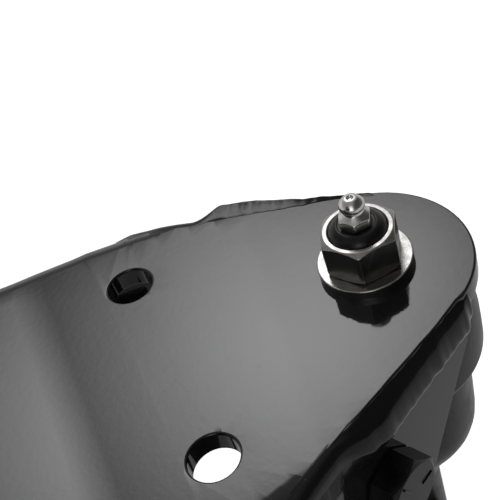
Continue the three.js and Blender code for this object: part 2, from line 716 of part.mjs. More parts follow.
function jaw(sx) {
  const top = JAW_Z + JAW_T;
  const ring = cut(
    rod([0, 0, JAW_Z], [0, 0, top], JAW_OUTER, 36),
    rod([0, 0, JAW_Z - 5], [0, 0, top + 5], KINGPIN_R + 0.5, 36),
  );
  const half = sx > 0 ? box(0.5, 80, -80, 80, 300, 450) : box(-80, -0.5, -80, 80, 300, 450);
  const [x, y] = [sx * JAW_PIVOT[0], JAW_PIVOT[1]];
  const hub = rod([x, y, JAW_Z], [x, y, top], 22, 24);
  const tailX = [sx * TAIL_INNER, sx * TAIL_OUTER].sort((a, b) => a - b);
  const tail = box(tailX[0], tailX[1], y, TAIL_END, JAW_Z, top);
  const bore = rod([x, y, JAW_Z - 5], [x, y, top + 5], JAW_PIN_R + GAP);
  return cut(union(ring.intersect(half), hub, tail), bore);
}

for (const { word, sx } of SIDES) piece(`jaw_${word}`, jaw(sx), BARE_STEEL);

// ---------------------------------------------------------------- cam handle

// keeps the part of a convex outline where nx * x + ny * y is at most reach
function trim(points, nx, ny, reach) {
  const over = ([x, y]) => nx * x + ny * y - reach;
  return points.flatMap((a, i) => {
    const b = points[(i + 1) % points.length];
    const [da, db] = [over(a), over(b)];
    const kept = da <= 0 ? [a] : [];
    if (da * db < 0) {
      const t = da / (da - db);
      kept.push([a[0] + t * (b[0] - a[0]), a[1] + t * (b[1] - a[1])]);
    }
    return kept;
  });
}

// the largest cam that never touches a jaw's tail, from both tails' inner faces in the cam's own frame
function camOutline() {
  const clearance = 0.8;
  let points = [[-60, -CAM_HALF], [60, -CAM_HALF], [60, CAM_HALF], [-60, CAM_HALF]];
  const steps = 12;
  for (let i = 0; i <= steps; i += 1) {
    const handle = THREE.MathUtils.degToRad(-CAM_SWING * i / steps);
    for (const { sx } of SIDES) {
      const swing = THREE.MathUtils.degToRad(sx * JAW_SWING * i / steps);
      const pivot = new THREE.Vector2(sx * JAW_PIVOT[0], JAW_PIVOT[1]);
      const normal = new THREE.Vector2(sx, 0).rotateAround(new THREE.Vector2(), swing);
      const face = new THREE.Vector2(sx * TAIL_INNER, JAW_PIVOT[1]).rotateAround(pivot, swing);
      const reach = normal.dot(face.sub(new THREE.Vector2(0, CAM_Y))) - clearance;
      const own = normal.clone().rotateAround(new THREE.Vector2(), -handle);
      points = trim(points, own.x, own.y, reach);
    }
  }
  return points.map(([x, y]) => [x, y + CAM_Y]);
}

function camHandle() {
  const [low, high] = [JAW_Z + 0.5, HANDLE_Z + HANDLE_T];
  const cam = plate(outline(camOutline()), low, HANDLE_Z + 0.5).intersect(
    rod([0, CAM_Y, 300], [0, CAM_Y, 450], CAM_R, 48),
  );
  const arm = box(HANDLE_ARM_END, 0, CAM_Y - HANDLE_HALF, CAM_Y + HANDLE_HALF, HANDLE_Z, high);
  const hub = rod([0, CAM_Y, low], [0, CAM_Y, high], CAM_HUB_R);
  const middle = HANDLE_Z + HANDLE_T / 2;
  const bar = rod([HANDLE_ARM_END + 10, CAM_Y, middle], [HANDLE_END + 6, CAM_Y, middle], HANDLE_BAR_R);
  return cut(
    union(cam, arm, hub, bar),
    rod([0, CAM_Y, 300], [0, CAM_Y, 450], CAM_PIN_R + GAP),
    rod([SAFETY_X, CAM_Y, 300], [SAFETY_X, CAM_Y, 450], SAFETY_R + 0.5, 12),
  );
}

function grip() {
  const middle = HANDLE_Z + HANDLE_T / 2;
  return cut(
    rod([HANDLE_END, CAM_Y, middle], [GRIP_START, CAM_Y, middle], GRIP_R, 20),
    rod([HANDLE_END + 6 - GAP, CAM_Y, middle], [GRIP_START + 20, CAM_Y, middle], HANDLE_BAR_R + GAP),
  );
}

function safetyPin() {
  const seat = HANDLE_Z + HANDLE_T + GAP;
  return union(
    rod([SAFETY_X, CAM_Y, seat - 34], [SAFETY_X, CAM_Y, seat + 5], SAFETY_R, 12),
    rod([SAFETY_X, CAM_Y, seat], [SAFETY_X, CAM_Y, seat + 4], 8),
    rod([SAFETY_X, CAM_Y - 3, seat + 13], [SAFETY_X, CAM_Y + 3, seat + 13], 10),
  );
}

piece('cam_handle', camHandle(), YELLOW_ZINC);
piece('handle_grip', grip(), RED_GRIP);
piece('safety_pin', safetyPin(), BRIGHT_ZINC);

export default hitch;
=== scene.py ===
"""Looks of the fifth wheel hitch: formed beams, feet, head and their finishes, in metres."""
import json
import math

import bmesh
import bpy
from mathutils import Matrix, Vector, noise


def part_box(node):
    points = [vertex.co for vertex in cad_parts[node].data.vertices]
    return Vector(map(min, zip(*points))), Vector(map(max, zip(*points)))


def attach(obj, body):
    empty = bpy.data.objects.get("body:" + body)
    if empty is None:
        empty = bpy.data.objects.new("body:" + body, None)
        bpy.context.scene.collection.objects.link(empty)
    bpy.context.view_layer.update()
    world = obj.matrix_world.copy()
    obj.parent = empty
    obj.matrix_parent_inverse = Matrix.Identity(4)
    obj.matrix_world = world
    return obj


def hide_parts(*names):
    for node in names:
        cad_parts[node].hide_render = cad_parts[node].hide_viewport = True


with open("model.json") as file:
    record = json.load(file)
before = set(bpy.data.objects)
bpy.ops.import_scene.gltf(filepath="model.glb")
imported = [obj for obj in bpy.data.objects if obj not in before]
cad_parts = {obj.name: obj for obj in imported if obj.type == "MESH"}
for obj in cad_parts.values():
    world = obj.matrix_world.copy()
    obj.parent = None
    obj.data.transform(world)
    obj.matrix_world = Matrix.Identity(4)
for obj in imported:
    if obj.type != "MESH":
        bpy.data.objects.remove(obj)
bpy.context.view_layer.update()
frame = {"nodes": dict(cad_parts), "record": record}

MM = 0.001
TAU = 2 * math.pi

ENDS = (("front", 1), ("rear", -1))
SIDES = (("right", 1), ("left", -1))
FEET = [(f"{end}_{side}", sx, sy) for end, sy in ENDS for side, sx in SIDES]


def middle(node):
    low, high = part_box(node)
    return (Vector(low) + Vector(high)) / 2


# ------------------------------------------------------------------ sizes, from the frame

FOOT = {name: middle(f"nut_{name}") for name, _, _ in FEET}
FOOT_X = FOOT["front_right"].x
FOOT_Y = FOOT["front_right"].y
FOOT_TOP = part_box("washer_front_right")[0][2] - 0.3 * MM
BEAM_LOW, BEAM_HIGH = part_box("front_beam_channel")
BEAM_TOP = BEAM_HIGH[2]
FLANGE_BOTTOM = BEAM_LOW[2]
BEAM_HALF = (BEAM_HIGH[1] - BEAM_LOW[1]) / 2
NOSE_R = BEAM_HIGH[0] - FOOT_X
STRAP = 6.35 * MM
TAPER = math.radians(28.5)
TAPER_NORMAL = Vector((math.sin(TAPER), math.cos(TAPER)))
BEND_R = 9.5 * MM
FLAT_HALF = BEAM_HALF - BEND_R
CREASE = -86 * MM
LEVEL_X = 200 * MM
RISE = (BEAM_TOP - FOOT_TOP) / (FOOT_X + CREASE - LEVEL_X)


# ------------------------------------------------------------------ finishes


class Finish:
    """A node material under construction around one Principled shader."""

    def __init__(self, name):
        self.material = bpy.data.materials.new(name)
        self.material.use_nodes = True
        self.tree = self.material.node_tree
        self.shader = self.tree.nodes["Principled BSDF"]
        self.where = self.add("ShaderNodeTexCoord").outputs["Object"]

    def add(self, kind, inputs=(), **settings):
        node = self.tree.nodes.new(kind)
        for key, value in settings.items():
            setattr(node, key, value)
        for key, value in dict(inputs).items():
            self.feed(node.inputs[key], value)
        return node

    def feed(self, socket, value):
        if isinstance(value, bpy.types.NodeSocket):
            self.tree.links.new(value, socket)
        else:
            socket.default_value = value

    def set(self, **inputs):
        for key, value in inputs.items():
            self.feed(self.shader.inputs[key.replace("_", " ")], value)

    def noise(self, scale, detail=3.0, roughness=0.5, stretch=None):
        where = self.where
        if stretch:
            where = self.add("ShaderNodeMapping", {"Vector": where, "Scale": stretch}).outputs[0]
        inputs = {"Vector": where, "Scale": scale, "Detail": detail, "Roughness": roughness}
        return self.add("ShaderNodeTexNoise", inputs).outputs[0]

    def spread(self, value, low, high, to_low=0.0, to_high=1.0):
        inputs = {"Value": value, "From Min": low, "From Max": high, "To Min": to_low, "To Max": to_high}
        return self.add("ShaderNodeMapRange", inputs).outputs[0]

    def blend(self, amount, first, second):
        node = self.add("ShaderNodeMix", data_type="RGBA")
        self.feed(node.inputs[0], amount)
        self.feed(node.inputs[6], first)
        self.feed(node.inputs[7], second)
        return node.outputs[2]

    def plus(self, first, second, operation="ADD"):
        return self.add("ShaderNodeMath", {0: first, 1: second}, operation=operation).outputs[0]

    def bump(self, height, depth, strength=1.0):
        inputs = {"Height": height, "Distance": depth, "Strength": strength}
        self.set(Normal=self.add("ShaderNodeBump", inputs).outputs[0])


def gloss_paint(name="gloss_black_paint", rough=0.045, ripple=1.0, ior=1.5):
    """Black powder coat: faint orange peel, slow waves in the gloss, a little dust."""
    f = Finish(name)
    peel = f.noise(620, 2.0)
    wave = f.noise(45, 2.0)
    dust = f.spread(f.noise(1500, 1.0), 0.80, 0.84)
    colour = f.blend(f.spread(f.noise(25), 0.3, 0.7), (0.008, 0.008, 0.009, 1), (0.013, 0.013, 0.014, 1))
    f.set(
        Base_Color=f.blend(dust, colour, (0.10, 0.10, 0.10, 1)),
        Roughness=f.plus(f.spread(wave, 0.3, 0.7, rough, rough + 0.03), f.plus(dust, 0.4, "MULTIPLY")),
        IOR=ior,
    )
    f.bump(f.plus(peel, f.plus(wave, 1.5, "MULTIPLY")), 0.012 * MM * ripple)
    return f.material


def cast_paint():
    """Black paint over a casting: rougher, with a granular skin."""
    f = Finish("cast_black_paint")
    grain = f.noise(900, 4.0, 0.6)
    f.set(
        Base_Color=f.blend(f.spread(grain, 0.3, 0.7), (0.010, 0.010, 0.011, 1), (0.022, 0.022, 0.023, 1)),
        Roughness=f.spread(f.noise(70), 0.3, 0.7, 0.24, 0.36),
        IOR=1.36,
    )
    f.bump(grain, 0.05 * MM)
    return f.material


def black_oxide():
    """Black oxide on steel: dark, oily, with brown and bare wear."""
    f = Finish("black_oxide")
    blotch = f.noise(130, 5.0, 0.6)
    wear = f.spread(f.noise(700, 4.0, 0.7), 0.66, 0.8)
    dark = f.blend(f.spread(blotch, 0.35, 0.7), (0.015, 0.015, 0.016, 1), (0.045, 0.042, 0.04, 1))
    f.set(
        Base_Color=f.blend(wear, dark, (0.16, 0.15, 0.14, 1)),
        Metallic=0.75,
        Roughness=f.spread(blotch, 0.3, 0.7, 0.22, 0.42),
    )
    f.bump(f.noise(1400, 3.0), 0.03 * MM)
    return f.material


def plating(name, bright, dull, stain=0.0, rough=0.16):
    """Zinc plate on steel: mottled, finely scratched, edges lightened as a painted highlight that is partly
    worn plating, stained where water sat.
    """
    f = Finish(name)
    mottle = f.noise(300, 5.0, 0.65)
    scratch = f.noise(500, 2.0, 0.5, (1, 14, 6))
    colour = f.blend(f.spread(mottle, 0.3, 0.7), dull, bright)
    rounded_normal = f.add("ShaderNodeBevel", {"Radius": 0.4 * MM}).outputs[0]
    flat_normal = f.add("ShaderNodeNewGeometry").outputs["Normal"]
    normals = {0: rounded_normal, 1: flat_normal}
    agree = f.add("ShaderNodeVectorMath", normals, operation="DOT_PRODUCT").outputs["Value"]
    # painted highlight: the rounded edges are lightened towards pale zinc, partly worn plating, partly
    # standing in for bright edge lines
    edge = f.plus(f.spread(agree, 0.99, 0.90), f.spread(mottle, 0.3, 0.6, 0.4, 1.0), "MULTIPLY")
    colour = f.blend(edge, colour, (0.86, 0.85, 0.82, 1))
    open_sky = f.add("ShaderNodeAmbientOcclusion", {"Distance": 2.5 * MM}).outputs["AO"]
    corner = f.plus(f.spread(open_sky, 0.55, 0.25), f.spread(f.noise(120), 0.45, 0.6), "MULTIPLY")
    rust = f.plus(f.spread(f.noise(170, 6.0, 0.7), 0.62, 0.74), corner, "MAXIMUM")
    rust = f.plus(rust, stain, "MULTIPLY")
    f.set(
        Base_Color=f.blend(rust, colour, (0.23, 0.10, 0.05, 1)),
        Metallic=1.0,
        Roughness=f.plus(f.spread(mottle, 0.3, 0.75, rough + 0.12, rough), f.plus(rust, 0.35, "MULTIPLY")),
    )
    f.bump(f.plus(scratch, mottle), 0.015 * MM)
    return f.material


def machined():
    """Machined and oiled steel: tool marks one way, dark grease in patches."""
    f = Finish("machined_steel")
    marks = f.noise(160, 3.0, 0.6, (1, 1, 22))
    grease = f.spread(f.noise(38, 5.0, 0.6), 0.45, 0.62)
    steel = f.blend(f.spread(marks, 0.3, 0.7), (0.30, 0.30, 0.30, 1), (0.55, 0.54, 0.53, 1))
    f.set(
        Base_Color=f.blend(grease, steel, (0.07, 0.06, 0.05, 1)),
        Metallic=0.95,
        Roughness=f.spread(marks, 0.3, 0.7, 0.2, 0.38),
    )
    f.bump(marks, 0.04 * MM)
    return f.material


def moulded(name, colour, dark, rough, grain=1300):
    """Moulded polymer or dipped vinyl: fine skin texture, scuffed patches."""
    f = Finish(name)
    skin = f.noise(grain, 3.0)
    scuff = f.spread(f.noise(110, 5.0, 0.7), 0.5, 0.75)
    f.set(
        Base_Color=f.blend(scuff, colour, dark),
        Roughness=f.spread(scuff, 0.0, 1.0, rough, rough + 0.2),
    )
    f.bump(skin, 0.06 * MM)
    return f.material


PAINT = gloss_paint()
WELD_PAINT = gloss_paint("weld_paint", 0.10, 3.0, 1.32)
CAST = cast_paint()
OXIDE = black_oxide()
ZINC = plating("bright_zinc", (0.44, 0.435, 0.42, 1), (0.25, 0.245, 0.235, 1), stain=0.6)
FITTING_ZINC = plating("fitting_zinc", (0.85, 0.845, 0.83, 1), (0.60, 0.59, 0.57, 1), stain=0.2, rough=0.12)
GOLD_ZINC = plating("yellow_zinc", (0.52, 0.40, 0.19, 1), (0.36, 0.29, 0.16, 1), stain=0.2, rough=0.22)
STEEL = machined()
POLYMER = moulded("bushing_polymer", (0.06, 0.062, 0.066, 1), (0.10, 0.10, 0.10, 1), 0.45)
VINYL = moulded("red_vinyl", (0.42, 0.018, 0.014, 1), (0.30, 0.03, 0.025, 1), 0.32)

FINISH = {
    "gloss_black": PAINT,
    "cast_black": CAST,
    "black_steel": OXIDE,
    "bright_zinc": ZINC,
    "yellow_zinc": GOLD_ZINC,
    "bare_steel": STEEL,
    "polymer": POLYMER,
    "red_grip": VINYL,
}


# ------------------------------------------------------------------ mesh tools


def settle(name, bm, body, slot, stands_for=(), finish=None, sharp=32.0):
    """Turns bm into a smooth-shaded piece on a body, standing for the CAD nodes it replaces."""
    bmesh.ops.remove_doubles(bm, verts=bm.verts, dist=1e-6)
    bmesh.ops.recalc_face_normals(bm, faces=bm.faces)
    for face in bm.faces:
        face.smooth = True
    for edge in bm.edges:
        if len(edge.link_faces) == 2 and edge.calc_face_angle(0.0) > math.radians(sharp):
            edge.smooth = False
    mesh = bpy.data.meshes.new(name)
    bm.to_mesh(mesh)
    bm.free()
    piece = bpy.data.objects.new(name, mesh)
    bpy.context.scene.collection.objects.link(piece)
    mesh.materials.append(finish or FINISH[slot])
    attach(piece, body)
    if stands_for:
        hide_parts(*stands_for)
    return piece


def weigh(piece):
    """Keeps broad flat faces flat in the shading beside their rounded edges."""
    piece.modifiers.new("weighted normals", "WEIGHTED_NORMAL").keep_sharp = True
    return piece


def soften(piece, width, segments=2, angle=30):
    """Rounds the edges sharper than angle."""
    bevel = piece.modifiers.new("edges", "BEVEL")
    bevel.width = width
    bevel.segments = segments
    bevel.limit_method = "ANGLE"
    bevel.angle_limit = math.radians(angle)
    return weigh(piece)


def spin(ring, sides=64, place=Matrix()):
    """A closed turned piece about place's Z: ring(angle) lists (radius, height) along its profile."""
    bm = bmesh.new()
    columns = []
    for i in range(sides):
        angle = TAU * i / sides
        along = [(r * math.cos(angle), r * math.sin(angle), z) for r, z in ring(angle)]
        columns.append([bm.verts.new(place @ Vector(p)) for p in along])
    for a, b in zip(columns, columns[1:] + columns[:1]):
        for j in range(len(a) - 1):
            bm.faces.new((a[j], b[j], b[j + 1], a[j + 1]))
    return bm


def fillet(x, z, radius, start, end, steps=5):
    """Points of an arc about (x, z), from start to end degrees."""
    turns = [math.radians(start + (end - start) * i / steps) for i in range(steps + 1)]
    return [(x + radius * math.cos(t), z + radius * math.sin(t)) for t in turns]


def hex_reach(flats, angle, turn):
    return flats / 2 / math.cos((angle - turn) % (TAU / 6) - TAU / 12)


def aim(point, direction):
    """Puts a piece's own Z along direction, from point."""
    turn = Vector(direction).to_track_quat("Z", "Y").to_matrix().to_4x4()
    return Matrix.Translation(point) @ turn


def thread(radius, depth, low, high, pitch, angle):
    """Profile of a helical thread between two heights, at one angle."""
    steps = max(2, round((high - low) / pitch * 8))
    points = []
    for i in range(steps + 1):
        z = low + (high - low) * i / steps
        phase = (z / pitch - angle / TAU) % 1.0
        fade = min(1.0, (high - z) / pitch, (z - low) / pitch + 0.2)
        points.append((radius - depth * fade * abs(2 * phase - 1), z))
    return points


def offset_loop(points, distance):
    """Moves a closed loop to its left by distance, with mitred corners."""
    moved = []
    count = len(points)
    for i in range(count):
        before = (points[i] - points[i - 1]).normalized()
        after = (points[(i + 1) % count] - points[i]).normalized()
        left = Vector((-before.y - after.y, before.x + after.x)).normalized()
        reach = max(0.3, left.dot(Vector((-before.y, before.x))))
        moved.append(points[i] + left * distance / reach)
    return moved


def area(points):
    return sum(a.x * b.y - b.x * a.y for a, b in zip(points, points[1:] + points[:1])) / 2


def circle(x, y, radius, steps=40):
    turns = [TAU * i / steps for i in range(steps)]
    return [Vector((x + radius * math.cos(t), y + radius * math.sin(t))) for t in turns]


def sheet(outer, holes, thickness, edge=0.5 * MM, cuts=(), steps=3):
    """A plate of an outline with holes, from z 0 to thickness, with rounded edges and extra cut lines."""
    bm = bmesh.new()
    caps = {0: [], 1: []}
    for loop, want in [(outer, 1)] + [(hole, -1) for hole in holes]:
        loop = [Vector(p) for p in loop]
        if area(loop) * want < 0:
            loop.reverse()
        rings = []
        for half in (0, 1):
            for i in range(steps + 1):
                t = math.pi / 2 * (i / steps if half else 1 - i / steps)
                inset = edge * (1 - math.cos(t))
                z = thickness - edge * (1 - math.sin(t)) if half else edge * (1 - math.sin(t))
                rings.append([bm.verts.new((p.x, p.y, z)) for p in offset_loop(loop, inset)])
        count = len(loop)
        for a, b in zip(rings, rings[1:]):
            for i in range(count):
                j = (i + 1) % count
                bm.faces.new((a[i], a[j], b[j], b[i]))
        for side, ring in ((0, rings[0]), (1, rings[-1])):
            caps[side] += [bm.edges.get((ring[i], ring[(i + 1) % count])) for i in range(count)]
    for edges in caps.values():
        bmesh.ops.triangle_fill(bm, edges=edges, use_beauty=True, use_dissolve=False)
    for axis, place in cuts:
        at = Vector((place, 0, 0)) if axis == "x" else Vector((0, place, 0))
        out = (1, 0, 0) if axis == "x" else (0, 1, 0)
        geometry = bm.verts[:] + bm.edges[:] + bm.faces[:]
        bmesh.ops.bisect_plane(bm, geom=geometry, dist=1e-7, plane_co=at, plane_no=out)
    return bm


def warp(bm, shape):
    for vert in bm.verts:
        vert.co = shape(vert.co)
    return bm


def between(table, s):
    """Straight-line lookup in a table of (distance, value, value, ...)."""
    if s <= table[0][0]:
        return table[0][1:]
    for a, b in zip(table, table[1:]):
        if s <= b[0]:
            t = (s - a[0]) / (b[0] - a[0])
            t = t * t * (3 - 2 * t)
            return tuple(u + (v - u) * t for u, v in zip(a[1:], b[1:]))
    return table[-1][1:]


def skin(rows):
    """A closed worm through rows of points."""
    bm = bmesh.new()
    rings = [[bm.verts.new(p) for p in row] for row in rows]
    count = len(rings[0])
    for a, b in zip(rings, rings[1:]):
        for j in range(count):
            bm.faces.new((a[j], a[(j + 1) % count], b[(j + 1) % count], b[j]))
    bm.faces.new(rings[0])
    bm.faces.new(rings[-1])
    return bm


def bead(points, out, up, wide, high, seed, ripple=5.2 * MM):
    """A weld bead along points with overlapping ripples: wide along out, high along up."""
    lengths = [0.0]
    for a, b in zip(points, points[1:]):
        lengths.append(lengths[-1] + (b - a).length)
    total = lengths[-1]
    count = max(12, int(total / (0.7 * MM)))
    around = 16
    rows = []
    k = 0
    for i in range(count + 1):
        s = total * i / count
        while k < len(lengths) - 2 and lengths[k + 1] < s:
            k += 1
        t = (s - lengths[k]) / (lengths[k + 1] - lengths[k])
        centre = points[k].lerp(points[k + 1], t)
        cap = min(1.0, s / wide, (total - s) / wide)
        cap = math.sqrt(max(0.0, 1 - (1 - cap) ** 2))
        wander = noise.noise(Vector((s * 60, seed, 0))) * 0.10
        row = []
        for j in range(around):
            angle = TAU * j / around
            lag = 1.2 * MM * math.cos(angle)
            wave = abs(math.sin(math.pi * (s + lag) / ripple + seed)) ** 0.8
            size = cap * (0.95 + 0.07 * wave + wander) + 0.02
            row.append(centre + out * wide * size * math.cos(angle) + up * high * size * math.sin(angle))
        rows.append(row)
    return skin(rows)


# ------------------------------------------------------------------ camera, floor and light


def look():
    """The camera stands over the front right foot, turned so that the beam runs down to the right."""
    yaw, pitch, roll = (math.radians(a) for a in (80.58, -41.65, -19.76))
    forward = Vector((math.cos(pitch) * math.cos(yaw), math.cos(pitch) * math.sin(yaw), math.sin(pitch)))
    level = Vector((math.sin(yaw), -math.cos(yaw), 0))
    upright = level.cross(forward)
    right = level * math.cos(roll) + upright * math.sin(roll)
    up = upright * math.cos(roll) - level * math.sin(roll)
    data = bpy.data.cameras.new("camera")
    data.sensor_width = 36
    data.lens = 70.96
    data.clip_start = 0.01
    camera = bpy.data.objects.new("camera", data)
    turn = Matrix((right, up, -forward)).transposed().to_4x4()
    foot = Vector((FOOT_X, FOOT_Y, FOOT_TOP))
    camera.matrix_world = Matrix.Translation(foot + Vector((-57.67, -178.46, 183.46)) * MM) @ turn
    bpy.context.scene.collection.objects.link(camera)
    bpy.context.scene.camera = camera


def floor():
    bm = bmesh.new()
    bmesh.ops.create_grid(bm, x_segments=8, y_segments=8, size=6.0)
    mesh = bpy.data.meshes.new("floor")
    bm.to_mesh(mesh)
    bm.free()
    f = Finish("studio_floor")
    tone = f.blend(f.noise(3, 2.0), (0.60, 0.60, 0.60, 1), (0.64, 0.64, 0.64, 1))
    seen = f.add("ShaderNodeLightPath").outputs["Is Camera Ray"]
    glow = f.spread(seen, 0.0, 1.0, 0.20, 0.85)
    f.set(Base_Color=tone, Roughness=0.9, Emission_Color=(1, 1, 1, 1), Emission_Strength=glow)
    mesh.materials.append(f.material)
    ground = bpy.data.objects.new("floor", mesh)
    bpy.context.scene.collection.objects.link(ground)


def softbox(name, at, target, width, height, power):
    data = bpy.data.lights.new(name, "AREA")
    data.shape = "RECTANGLE"
    data.size = width
    data.size_y = height
    data.energy = power
    light = bpy.data.objects.new(name, data)
    light.matrix_world = aim(at, Vector(at) - Vector(target))
    bpy.context.scene.collection.objects.link(light)


def studio():
    """A soft light ahead of the hitch and above it, weaker ones beside and behind, and a dim even sky."""
    world = bpy.data.worlds.new("studio")
    bpy.context.scene.world = world
    world.use_nodes = True
    tree = world.node_tree
    background = tree.nodes["Background"]

    def node(kind, **settings):
        made = tree.nodes.new(kind)
        for key, value in settings.items():
            setattr(made, key, value)
        return made

    where = node("ShaderNodeTexCoord").outputs["Generated"]

    def math_node(operation, first, second=0.0):
        made = node("ShaderNodeMath", operation=operation)
        for socket, value in zip(made.inputs, (first, second)):
            if isinstance(value, bpy.types.NodeSocket):
                tree.links.new(value, socket)
            else:
                socket.default_value = value
        return made.outputs[0]

    def along(direction):
        toward = node("ShaderNodeVectorMath", operation="DOT_PRODUCT")
        toward.inputs[1].default_value = Vector(direction).normalized()
        tree.links.new(where, toward.inputs[0])
        return toward.outputs["Value"]

    def fade(value, low, high, to_low, to_high):
        ramp = node("ShaderNodeMapRange", interpolation_type="SMOOTHSTEP")
        tree.links.new(value, ramp.inputs["Value"])
        for key, amount in {"From Min": low, "From Max": high, "To Min": to_low, "To Max": to_high}.items():
            ramp.inputs[key].default_value = amount
        return ramp.outputs[0]

    def spot(direction, inner, outer, bright):
        """A soft round light; inner and outer are degrees from its direction."""
        angle = math_node("ARCCOSINE", along(direction))
        return fade(angle, math.radians(inner), math.radians(outer), bright, 0.0)

    sky = fade(along((0, 0, 1)), 0.05, 0.42, 0.70, 0.28)
    shade = fade(along((0.8, -0.6, 0)), 0.2, 0.7, 1.0, 0.2)
    lights = [
        spot((0.121, 0.652, 0.749), -1, 18.5, 5.3),
        spot((0.121, 0.652, 0.749), 10, 60, 0.25),
        spot((-0.50, -0.75, 0.40), 4, 26, 1.6),
        spot((0.293, 0.657, 0.695), -1, 12, 0.9),
        math_node("MULTIPLY", sky, shade),
    ]
    lit = lights[0]
    for light in lights[1:]:
        lit = math_node("ADD", lit, light)
    lit = math_node("MULTIPLY", lit, fade(along((0.983, -0.182, 0.014)), -0.004, 0.004, 1.0, 0.93))
    seen = node("ShaderNodeLightPath").outputs["Is Camera Ray"]
    hidden = math_node("MULTIPLY", lit, math_node("SUBTRACT", 1.0, seen))
    tree.links.new(math_node("ADD", hidden, seen), background.inputs["Strength"])
    background.inputs["Color"].default_value = (1, 1, 1, 1)
    softbox("small_window", (-0.25, -0.75, 0.75), (0.4, 0.2, 0.1), 0.10, 0.06, 0.5)
    bpy.context.scene.view_settings.view_transform = "Standard"


look()
floor()
studio()


# ------------------------------------------------------------------ beams


def top_at(x):
    """How far the beam's top lies above the feet, with its bends softened."""
    start, end, soft = FOOT_X + CREASE, LEVEL_X, 5 * MM
    reach = abs(x)

    def ramp(d):
        if d <= -soft:
            return 0.0
        return d if d >= soft else (d + soft) ** 2 / (4 * soft)

    return RISE * (ramp(start - reach) - ramp(end - reach))


# distance from a foot towards its nose, and the half width of the flat top there, in mm
FLAT_WIDTH = [(-86, 54.0), (-66, 52.4), (-53.6, 50.2), (-45.6, 48.6), (-36, 47.6), (-28.5, 47.0)]
# distance along the taper, and how far out its cut edge lies before the weld covers it, in mm
TAPER_EDGE = [(0, 28.5), (1, 27.9), (10, 27.9), (20, 27.2), (30, 26.5), (38, 26.0), (46, 25.2),
              (54, 24.8), (62, 24.8), (70, 25.5), (77, 27.4)]


def flat_half(x):
    """Half width of the beam's flat top at a distance from its middle, before the bend begins."""
    return between(FLAT_WIDTH, (abs(x) - FOOT_X) / MM)[0] * MM


def to_pattern(x, y):
    return Vector((x, y * FLAT_HALF / flat_half(x)))


def pattern_edge(along):
    """Where the taper's cut lies in the flat pattern, out over the bend."""
    out = between(TAPER_EDGE, along)[0]
    x = FOOT_X + (out * TAPER_NORMAL.x - along * TAPER_NORMAL.y) * MM
    y = (out * TAPER_NORMAL.y + along * TAPER_NORMAL.x) * MM
    if y <= flat_half(x):
        return to_pattern(x, y)
    return Vector((x, FLAT_HALF + BEND_R * math.asin(min(1.0, (y - flat_half(x)) / BEND_R))))


def pattern_bottom(x):
    return FLAT_HALF + BEND_R * math.pi / 2 + (FOOT_TOP + top_at(x) - BEND_R - FLANGE_BOTTOM)


def beam_pattern():
    """One quarter of the flat pattern, from the nose's tip to the middle of the flange, mirrored twice."""
    sweep = math.pi / 2 - TAPER
    arc = [p for p in circle(0, 0, NOSE_R, 72) if 0 < math.atan2(p.y, p.x) < sweep]
    nose = [to_pattern(FOOT_X + p.x, p.y) for p in arc]
    over = [pattern_edge(along) for along in range(1, 76, 4)]
    end = over[-1].x
    lower = [Vector((end - 0.05 * MM, pattern_bottom(end)))]
    lower += [Vector((x, pattern_bottom(x))) for x in (FOOT_X + CREASE, LEVEL_X)]
    quarter = nose + over + lower
    right = [Vector((FOOT_X + NOSE_R, 0))] + quarter
    top = right + [Vector((-p.x, p.y)) for p in reversed(right)]
    return top + [Vector((p.x, -p.y)) for p in reversed(top[1:-1])]


def beam_holes():
    holes = []
    for sx in (1, -1):
        spots = [(FOOT_X, 0, 6.75 * MM)] + [(FOOT_X - 58.3 * MM, y * MM, 6.5 * MM) for y in (33.8, -33.8)]
        spots.append((112 * MM, 0, 8.5 * MM))
        for x, y, radius in spots:
            holes.append([to_pattern(sx * x + p.x, y + p.y) for p in circle(0, 0, radius)])
    return holes


def beam(end, sy):
    turns = [FLAT_HALF + BEND_R * math.pi / 2 * i / 8 for i in range(9)]
    bends = [FOOT_X + CREASE + d * MM for d in (-5, -2.5, 0, 2.5, 5)]
    bends += [LEVEL_X + d * MM for d in (-5, 0, 5)]
    cuts = [("y", s * v) for v in turns for s in (1, -1)]
    bends += [FOOT_X + from_foot * MM for from_foot, _ in FLAT_WIDTH[1:]]
    cuts += [("x", s * x) for x in bends for s in (1, -1)]
    bm = sheet(beam_pattern(), beam_holes(), STRAP, 0.7 * MM, cuts)

    def shape(p):
        flat = flat_half(p.x)
        depth = STRAP - p.z
        over = abs(p.y) - FLAT_HALF
        if over <= 0:
            y, z = abs(p.y) * flat / FLAT_HALF, -depth
        elif over < BEND_R * math.pi / 2:
            t = over / BEND_R
            y, z = flat + (BEND_R - depth) * math.sin(t), -BEND_R + (BEND_R - depth) * math.cos(t)
        else:
            y, z = flat + BEND_R - depth, -BEND_R - (over - BEND_R * math.pi / 2)
        return Vector((p.x, math.copysign(y, p.y) + sy * FOOT_Y, FOOT_TOP + top_at(p.x) + z))

    warp(bm, shape)
    weigh(settle(f"{end}_formed_beam", bm, "base", "gloss_black", [f"{end}_beam_channel"], sharp=40))


for end, sy in ENDS:
    beam(end, sy)


# ------------------------------------------------------------------ feet


def foot_place(name):
    return Matrix.Translation((FOOT[name].x, FOOT[name].y, FOOT_TOP))


def on_taper(along, out, z, name, sx, side):
    """A point by a foot's tapered edge: along it from the nose radius, out from the foot's axis."""
    x = out * TAPER_NORMAL.x - along * TAPER_NORMAL.y
    y = out * TAPER_NORMAL.y + along * TAPER_NORMAL.x
    return Vector((FOOT[name].x + sx * x, FOOT[name].y + side * y, FOOT_TOP + z))


GUSSET_FACE = NOSE_R - 1.0 * MM
BARREL_END = -34.4 * MM


